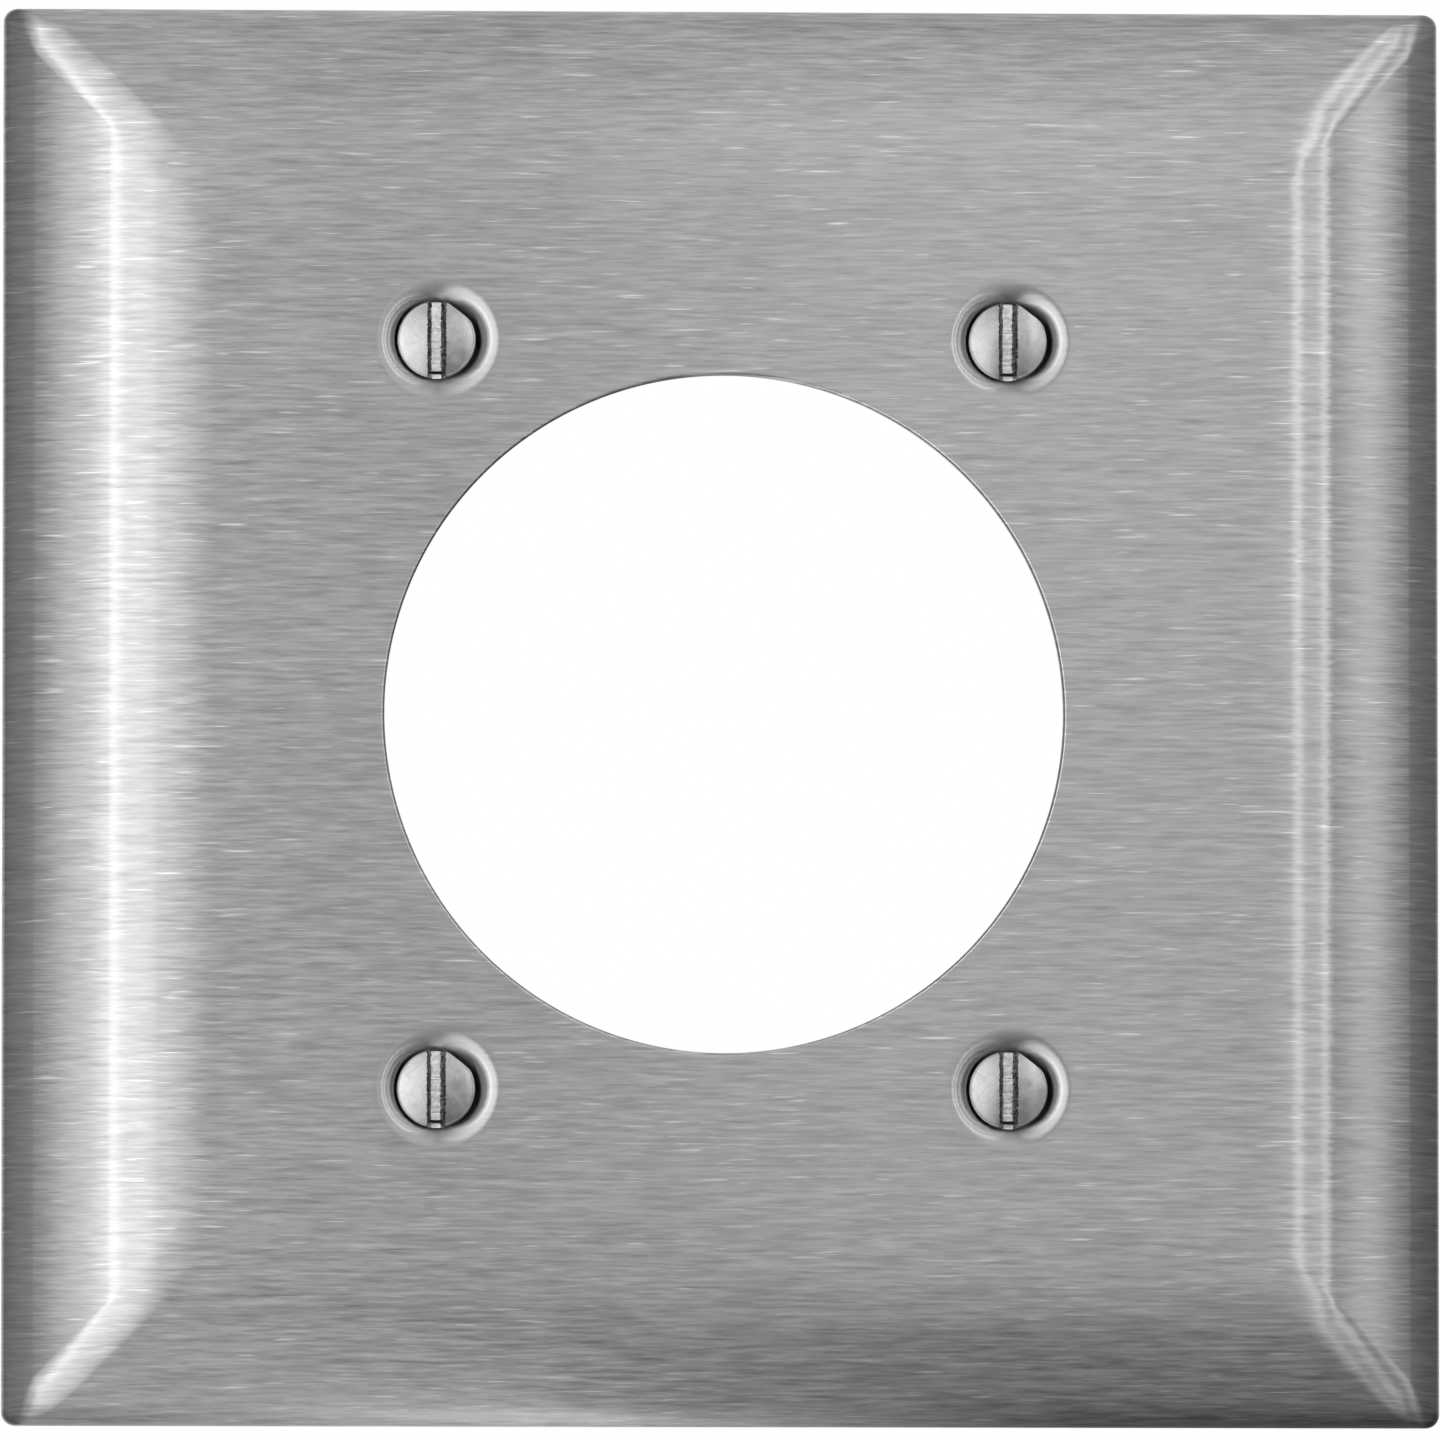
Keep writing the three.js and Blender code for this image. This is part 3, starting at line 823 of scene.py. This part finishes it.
def sawn_wall_painted_shade(steel):
    """The slot's walls: saw marks across them, darkened with painted shade well below the head's steel."""
    material, tree, output = new_material("Stainless 18-8, sawn slot wall")
    place = add_node(tree, "ShaderNodeTexCoord").outputs["Object"]
    marks = add_node(tree, "ShaderNodeTexNoise", {"Vector": place, "Scale": 1 / (0.25 * MM), "Detail": 2.0})
    # Painted shade: the ramp darkens the walls to between a tenth and nine tenths of the steel's colour,
    # standing in for the shade between them.
    tone = add_node(tree, "ShaderNodeValToRGB", {"Fac": marks.outputs["Fac"]},
                    stops=((0.38, 0.1), (0.62, 0.9))).outputs["Color"]
    colour = add_node(tree, "ShaderNodeMix", {0: 1.0, 6: (*steel, 1.0), 7: tone}, data_type="RGBA",
                      blend_type="MULTIPLY").outputs[2]
    bump = add_node(tree, "ShaderNodeBump", {
        "Height": marks.outputs["Fac"], "Strength": 0.5, "Distance": 0.06 * MM})
    shader = add_node(tree, "ShaderNodeBsdfPrincipled", {
        "Base Color": colour, "Metallic": 1.0, "Roughness": 0.5, "Normal": bump.outputs["Normal"]})
    tree.links.new(shader.outputs["BSDF"], output.inputs["Surface"])
    return material


def sawn_floor_painted_light(steel):
    """The slot's floor: rough where the saw has dragged along it, and brightened with painted light well
    above the head's steel.
    """
    material, tree, output = new_material("Stainless 18-8, sawn slot floor")
    place = add_node(tree, "ShaderNodeTexCoord").outputs["Object"]
    drag = add_node(tree, "ShaderNodeTexNoise", {"Vector": place, "Scale": 1 / (0.3 * MM), "Detail": 4.0})
    # Painted light: the ramp lifts the floor to one and a half to twice the steel's colour; only the noise's
    # mottling is saw texture.
    tone = add_node(tree, "ShaderNodeValToRGB", {"Fac": drag.outputs["Fac"]},
                    stops=((0.35, 1.5), (0.65, 2.1))).outputs["Color"]
    colour = add_node(tree, "ShaderNodeMix", {0: 1.0, 6: (*steel, 1.0), 7: tone}, data_type="RGBA",
                      blend_type="MULTIPLY").outputs[2]
    bump = add_node(tree, "ShaderNodeBump", {
        "Height": drag.outputs["Fac"], "Strength": 0.6, "Distance": 0.04 * MM})
    shader = add_node(tree, "ShaderNodeBsdfPrincipled", {
        "Base Color": colour, "Metallic": 1.0, "Roughness": 0.45, "Normal": bump.outputs["Normal"]})
    tree.links.new(shader.outputs["BSDF"], output.inputs["Surface"])
    return material


def natural_nylon(nylon):
    """Nylon 6/6, die cut from natural sheet: milky, matt, and a little light passes into it."""
    material, tree, output = new_material("Nylon 6/6, die cut")
    place = add_node(tree, "ShaderNodeTexCoord").outputs["Object"]
    cloud = add_node(tree, "ShaderNodeTexNoise", {"Vector": place, "Scale": 1 / (1.2 * MM), "Detail": 4.0})
    tone = add_node(tree, "ShaderNodeValToRGB", {"Fac": cloud.outputs["Fac"]},
                    stops=((0.3, 0.9), (0.7, 1.0))).outputs["Color"]
    colour = add_node(tree, "ShaderNodeMix", {0: 1.0, 6: (*nylon, 1.0), 7: tone}, data_type="RGBA",
                      blend_type="MULTIPLY").outputs[2]
    rough = add_node(tree, "ShaderNodeMapRange", {
        "Value": cloud.outputs["Fac"], "From Min": 0.3, "From Max": 0.7, "To Min": 0.45, "To Max": 0.6,
    }).outputs["Result"]
    bump = add_node(tree, "ShaderNodeBump", {
        "Height": cloud.outputs["Fac"], "Strength": 0.3, "Distance": 0.02 * MM})
    shader = add_node(tree, "ShaderNodeBsdfPrincipled", {
        "Base Color": colour, "Roughness": rough, "IOR": 1.53, "Subsurface Weight": 0.2,
        "Subsurface Radius": (0.8 * MM, 0.7 * MM, 0.6 * MM), "Subsurface Scale": 1.0,
        "Normal": bump.outputs["Normal"]})
    tree.links.new(shader.outputs["BSDF"], output.inputs["Surface"])
    return material


def matt_paper(colour_value):
    """Seamless background paper: even, matt, with only a trace of tooth."""
    material, tree, output = new_material("Seamless paper")
    place = add_node(tree, "ShaderNodeTexCoord").outputs["Object"]
    tooth = add_node(tree, "ShaderNodeTexNoise", {"Vector": place, "Scale": 1 / (2 * MM), "Detail": 3.0})
    bump = add_node(tree, "ShaderNodeBump", {
        "Height": tooth.outputs["Fac"], "Strength": 0.1, "Distance": 0.1 * MM})
    shader = add_node(tree, "ShaderNodeBsdfPrincipled", {
        "Base Color": (*colour_value, 1.0), "Roughness": 0.9, "Normal": bump.outputs["Normal"]})
    tree.links.new(shader.outputs["BSDF"], output.inputs["Surface"])
    return material


# Studio

# The light tent round the plate, as seen from the plate's middle. These places are in degrees.
# Its cloth, going round from the left to the right of the front, and how bright it is by itself:
CLOTH_AROUND = (
    (-96, 0.2), (-50, 0.4), (-33, 0.45), (-14, 0.25), (-5, 0.48), (-1, 0.36), (2, 0.6), (5, 0.62),
    (19, 0.52), (31, 0.46), (37, 0.36), (41, 0.24), (96, 0.15),
)
# The lamps behind it: where each one's light starts, is full, starts to fade and ends, and what
# it adds to the cloth. The plate's left side shows the softbox, its right side the two strips.
FAR_LEFT_LAMP = (-49, -43, -41, -34, 0.8)
SOFTBOX = (-39, -33, -14, -5, 1.3)
SOFTBOX_EDGE = (-39, -34, -32, -29, 0.9)
NEAR_STRIP = (20, 22.6, 22.6, 25, 1.5)
FAR_STRIP = (31, 33.4, 33.4, 35.8, 1.7)
FAR_RIGHT_LAMP = (40, 47.5, 47.5, 55, 0.75)
TENT_LAMPS = (FAR_LEFT_LAMP, SOFTBOX, SOFTBOX_EDGE, NEAR_STRIP, FAR_STRIP, FAR_RIGHT_LAMP)
# How bright the tent is from its foot to its top, in front and to the right:
TENT_UP = (
    (-90, 1.6), (-75, 1.0), (-65, 0.35), (-45, 0.25), (-10, 0.85), (0, 1.25), (10, 1.9), (20, 2.3),
    (40, 1.6), (55, 0.5), (65, 0.3), (75, 0.85), (90, 1.5),
)
# The same to the left, where the softbox has its own height:
TENT_UP_LEFT = (
    (-90, 2.2), (-75, 1.0), (-60, 0.25), (-40, 0.5), (-15, 1.1), (5, 1.35), (20, 1.1), (35, 0.6),
    (50, 0.2), (65, 0.1), (75, 0.55), (90, 1.0),
)
# Where the left side's heights give way to the right side's:
LEFT_SIDE_ENDS, RIGHT_SIDE_STARTS = -14, -4
# Where the plain cloth behind the plate begins on either side:
BEHIND_STARTS, BEHIND_FULL = 115, 140
TENT_RADIUS = 0.5
TENT_BOTTOM = 0.16
TENT_BEHIND = (0.7, 0.7, 0.7, 1.0)
# On the tent's floor, close in front of the plate, the cloth darkens to the right by so much per
# metre, down to a limit, and is a trace brighter to the left. Its places are in metres.
NEAR_SLANT = 21.0
NEAR_DARKEST, NEAR_BRIGHTEST = -0.75, 0.05
NEAR_ENDS, NEAR_FULL = 0.2, 0.12
NEAR_HEIGHT = 0.1
TENT_COLUMNS = 96
# The floor closes in a small disc, its radius given as a share of the tent's. The dome closes in
# another, above this angle in radians.
TENT_FOOT_DISC = 0.02
DOME_ENDS = 1.5
OVERHEAD_PLACE = (0.3, 0.5, 1.4)
OVERHEAD_SIZE = 1.2
OVERHEAD_POWER = 6
FLOOR_HALF_WIDTH = 3.0
# The middle of the picture stands a trace off the plate's middle, as shares of its width.
CAMERA_SHIFT = (-0.0006, -0.001)


def light_world():
    """Plain white round everything, a little dimmer as light than as what the camera sees."""
    world = bpy.data.worlds.new("Studio")
    bpy.context.scene.world = world
    world.use_nodes = True
    tree = world.node_tree
    tree.nodes.clear()
    output = tree.nodes.new("ShaderNodeOutputWorld")
    rays = add_node(tree, "ShaderNodeLightPath").outputs["Is Camera Ray"]
    strength = add_node(tree, "ShaderNodeMapRange", {"Value": rays, "To Min": 0.75, "To Max": 1.0})
    background = add_node(tree, "ShaderNodeBackground", {
        "Color": (1.0, 1.0, 1.0, 1.0), "Strength": strength.outputs["Result"]})
    tree.links.new(background.outputs["Background"], output.inputs["Surface"])


def spread(stops):
    """Stops given in degrees as stops from 0 to 1."""
    first, last = stops[0][0], stops[-1][0]
    return [((degrees - first) / (last - first), value) for degrees, value in stops]


def around_stops():
    """The cloth and its lamps added up, as (degrees, brightness) wherever the light changes."""
    cloth_places, cloth = zip(*CLOTH_AROUND)
    places = sorted({place for lamp in TENT_LAMPS for place in lamp[:4]}.union(cloth_places))
    bright = np.interp(places, cloth_places, cloth)
    for *edges, added in TENT_LAMPS:
        bright += np.interp(places, edges, (0, added, added, 0))
    return list(zip(places, bright.tolist()))


def tent_cloth():
    """The tent's lit cloth: its brightness depends on the direction from the plate's middle."""
    material, tree, output = new_material("Lit tent cloth")
    place = add_node(tree, "ShaderNodeTexCoord").outputs["Object"]
    parts = add_node(tree, "ShaderNodeSeparateXYZ", {"Vector": place}).outputs
    towards = add_node(tree, "ShaderNodeMath", {0: parts["Y"], 1: -1.0}, operation="MULTIPLY").outputs[0]
    around = add_node(tree, "ShaderNodeMath", {0: parts["X"], 1: towards}, operation="ARCTAN2").outputs[0]
    turn = add_node(tree, "ShaderNodeMapRange", {
        "Value": around, "From Min": math.radians(CLOTH_AROUND[0][0]),
        "From Max": math.radians(CLOTH_AROUND[-1][0])}).outputs["Result"]
    level = add_node(tree, "ShaderNodeCombineXYZ", {"X": parts["X"], "Y": parts["Y"], "Z": 0.0})
    reach = add_node(tree, "ShaderNodeVectorMath", {0: level.outputs["Vector"]}, operation="LENGTH")
    up = add_node(tree, "ShaderNodeMath", {0: parts["Z"], 1: reach.outputs["Value"]}, operation="ARCTAN2")
    rise = add_node(tree, "ShaderNodeMapRange", {
        "Value": up.outputs[0], "From Min": math.radians(TENT_UP[0][0]),
        "From Max": math.radians(TENT_UP[-1][0])}).outputs["Result"]
    bright = add_node(tree, "ShaderNodeValToRGB", {"Fac": turn}, stops=spread(around_stops()))
    leftwards = add_node(tree, "ShaderNodeMapRange", {
        "Value": around, "From Min": math.radians(RIGHT_SIDE_STARTS),
        "From Max": math.radians(LEFT_SIDE_ENDS)}).outputs["Result"]
    right_side = add_node(tree, "ShaderNodeValToRGB", {"Fac": rise}, stops=spread(TENT_UP))
    left_side = add_node(tree, "ShaderNodeValToRGB", {"Fac": rise}, stops=spread(TENT_UP_LEFT))
    fade = add_node(tree, "ShaderNodeMix", {
        0: leftwards, 6: right_side.outputs["Color"], 7: left_side.outputs["Color"],
    }, data_type="RGBA").outputs[2]
    both = add_node(tree, "ShaderNodeMix", {0: 1.0, 6: bright.outputs["Color"], 7: fade}, data_type="RGBA",
                    blend_type="MULTIPLY").outputs[2]
    away = add_node(tree, "ShaderNodeMath", {0: around}, operation="ABSOLUTE").outputs[0]
    behind = add_node(tree, "ShaderNodeMapRange", {
        "Value": away, "From Min": math.radians(BEHIND_STARTS),
        "From Max": math.radians(BEHIND_FULL)}).outputs["Result"]
    whole = add_node(tree, "ShaderNodeMix", {0: behind, 6: both, 7: TENT_BEHIND}, data_type="RGBA")
    slant = add_node(tree, "ShaderNodeMath", {0: parts["X"], 1: -NEAR_SLANT}, operation="MULTIPLY")
    held = add_node(tree, "ShaderNodeClamp", {
        "Value": slant.outputs[0], "Min": NEAR_DARKEST, "Max": NEAR_BRIGHTEST}).outputs["Result"]
    near = add_node(tree, "ShaderNodeMapRange", {
        "Value": towards, "From Min": NEAR_ENDS, "From Max": NEAR_FULL}).outputs["Result"]
    low = add_node(tree, "ShaderNodeMath", {0: parts["Z"], 1: NEAR_HEIGHT - TENT_BOTTOM},
                   operation="LESS_THAN")
    part = add_node(tree, "ShaderNodeMath", {0: near, 1: low.outputs[0]}, operation="MULTIPLY")
    strength = add_node(tree, "ShaderNodeMath", {0: held, 1: part.outputs[0], 2: 1.0},
                        operation="MULTIPLY_ADD")
    cloth = add_node(tree, "ShaderNodeEmission", {
        "Color": whole.outputs[2], "Strength": strength.outputs[0]})
    tree.links.new(cloth.outputs["Emission"], output.inputs["Surface"])
    return material


def add_tent():
    """A round tent that only reflections show, so it lights the steel and nothing else."""
    skin = Skin()
    outline = [(TENT_RADIUS * TENT_FOOT_DISC, -TENT_BOTTOM), (TENT_RADIUS, -TENT_BOTTOM)]
    outline += [(TENT_RADIUS * math.cos(a), TENT_RADIUS * math.sin(a))
                for a in np.linspace(0, DOME_ENDS, 12)]
    rings = turned(outline, TENT_COLUMNS)[:, :, [0, 2, 1]]
    ids = skin.add_points(rings, np.zeros_like(rings))
    skin.join(ids)
    skin.fan(ids[0], (0, 0, -TENT_BOTTOM), (0, 0, -1))
    skin.fan(ids[-1], (0, 0, TENT_RADIUS), (0, 0, 1))
    tent = bpy.data.objects.new("light_tent", skin.mesh("light_tent", [tent_cloth()]))
    bpy.context.scene.collection.objects.link(tent)
    tent.visible_camera = tent.visible_diffuse = tent.visible_shadow = False
    tent.visible_transmission = tent.visible_volume_scatter = False


def add_floor(studio):
    """A wide sheet of pale paper, far enough down to stay out of the front view."""
    work = bmesh.new()
    bmesh.ops.create_grid(work, x_segments=8, y_segments=8, size=FLOOR_HALF_WIDTH)
    mesh = bpy.data.meshes.new("floor")
    work.to_mesh(mesh)
    work.free()
    mesh.materials.append(matt_paper(studio.floor))
    floor = bpy.data.objects.new("floor", mesh)
    floor.location.z = -studio.floor_drop
    bpy.context.scene.collection.objects.link(floor)


def add_soft_light(name, place, width, height, power):
    """A rectangular softbox that faces the plate."""
    data = bpy.data.lights.new(name, "AREA")
    data.shape = "RECTANGLE"
    data.size, data.size_y, data.energy = width, height, power
    light = bpy.data.objects.new(name, data)
    light.location = place
    light.rotation_euler = (-Vector(place)).to_track_quat("-Z", "Y").to_euler()
    light.visible_camera = False
    bpy.context.scene.collection.objects.link(light)


def add_camera(studio):
    """The camera, low and a little to the left, with a long lens."""
    data = bpy.data.cameras.new("camera")
    data.lens = data.sensor_width * studio.distance / studio.frame_width
    data.clip_end = 20.0
    data.shift_x, data.shift_y = CAMERA_SHIFT
    camera = bpy.data.objects.new("camera", data)
    flat = studio.distance * math.cos(studio.elevation)
    camera.location = (flat * math.sin(studio.azimuth), -flat * math.cos(studio.azimuth),
                       studio.distance * math.sin(studio.elevation))
    camera.rotation_euler = (-camera.location).to_track_quat("-Z", "Y").to_euler()
    bpy.context.scene.collection.objects.link(camera)
    bpy.context.scene.camera = camera


# Operators and panel


class WALLPLATE_OT_studio(bpy.types.Operator):
    """Makes the floor, the lights and the camera"""

    bl_idname = "wallplate.studio"
    bl_label = "Studio"

    def execute(self, context):
        studio = context.scene.wallplate_studio
        context.scene.view_settings.view_transform = "Standard"
        add_camera(studio)
        light_world()
        add_floor(studio)
        add_tent()
        add_soft_light("overhead_softbox", OVERHEAD_PLACE, OVERHEAD_SIZE, OVERHEAD_SIZE, OVERHEAD_POWER)
        return {"FINISHED"}


class WALLPLATE_OT_plate(bpy.types.Operator):
    """Makes the pressed plate"""

    bl_idname = "wallplate.plate"
    bl_label = "Pressed plate"

    def execute(self, context):
        build_plate(context.scene.wallplate_plate)
        return {"FINISHED"}


class WALLPLATE_OT_screws(bpy.types.Operator):
    """Makes the four oval-head screws"""

    bl_idname = "wallplate.screws"
    bl_label = "Oval-head screws"

    def execute(self, context):
        screw = context.scene.wallplate_screw
        materials = (headed_stainless(screw.steel), sawn_wall_painted_shade(screw.steel), sawn_floor_painted_light(screw.steel))
        cone_slope = math.pi / 2 - context.scene.wallplate_plate.countersink / 2
        for corner in CORNERS:
            build_screw(screw, corner, materials, cone_slope)
        return {"FINISHED"}


class WALLPLATE_OT_washers(bpy.types.Operator):
    """Makes the four captive washers"""

    bl_idname = "wallplate.washers"
    bl_label = "Captive washers"

    def execute(self, context):
        scene = context.scene
        nylon = natural_nylon(scene.wallplate_washer.nylon)
        for corner in CORNERS:
            build_washer(scene.wallplate_washer, scene.wallplate_screw, corner, nylon)
        return {"FINISHED"}


class WALLPLATE_PT_panel(bpy.types.Panel):
    """Lists the steps that build the wall plate"""

    bl_idname = "WALLPLATE_PT_panel"
    bl_label = "Wall Plate"
    bl_space_type = "VIEW_3D"
    bl_region_type = "UI"
    bl_category = "Wall Plate"

    def draw(self, context):
        for operator in OPERATORS:
            self.layout.operator(operator.bl_idname)


OPERATORS = (WALLPLATE_OT_studio, WALLPLATE_OT_plate, WALLPLATE_OT_screws, WALLPLATE_OT_washers)
SETTINGS = {
    "wallplate_plate": PlateSettings,
    "wallplate_screw": ScrewSettings,
    "wallplate_washer": WasherSettings,
    "wallplate_studio": StudioSettings,
}


def register():
    """Registers the settings, the operators and the panel."""
    for name, group in SETTINGS.items():
        bpy.utils.register_class(group)
        setattr(bpy.types.Scene, name, PointerProperty(type=group))
    for made in (*OPERATORS, WALLPLATE_PT_panel):
        bpy.utils.register_class(made)


def unregister():
    """Takes them away again."""
    for made in (WALLPLATE_PT_panel, *reversed(OPERATORS)):
        bpy.utils.unregister_class(made)
    for name, group in reversed(SETTINGS.items()):
        delattr(bpy.types.Scene, name)
        bpy.utils.unregister_class(group)


def main():
    """Builds the studio and every piece."""
    register()
    bpy.ops.wallplate.studio()
    bpy.ops.wallplate.plate()
    bpy.ops.wallplate.screws()
    bpy.ops.wallplate.washers()


if __name__ == "__main__":
    main()
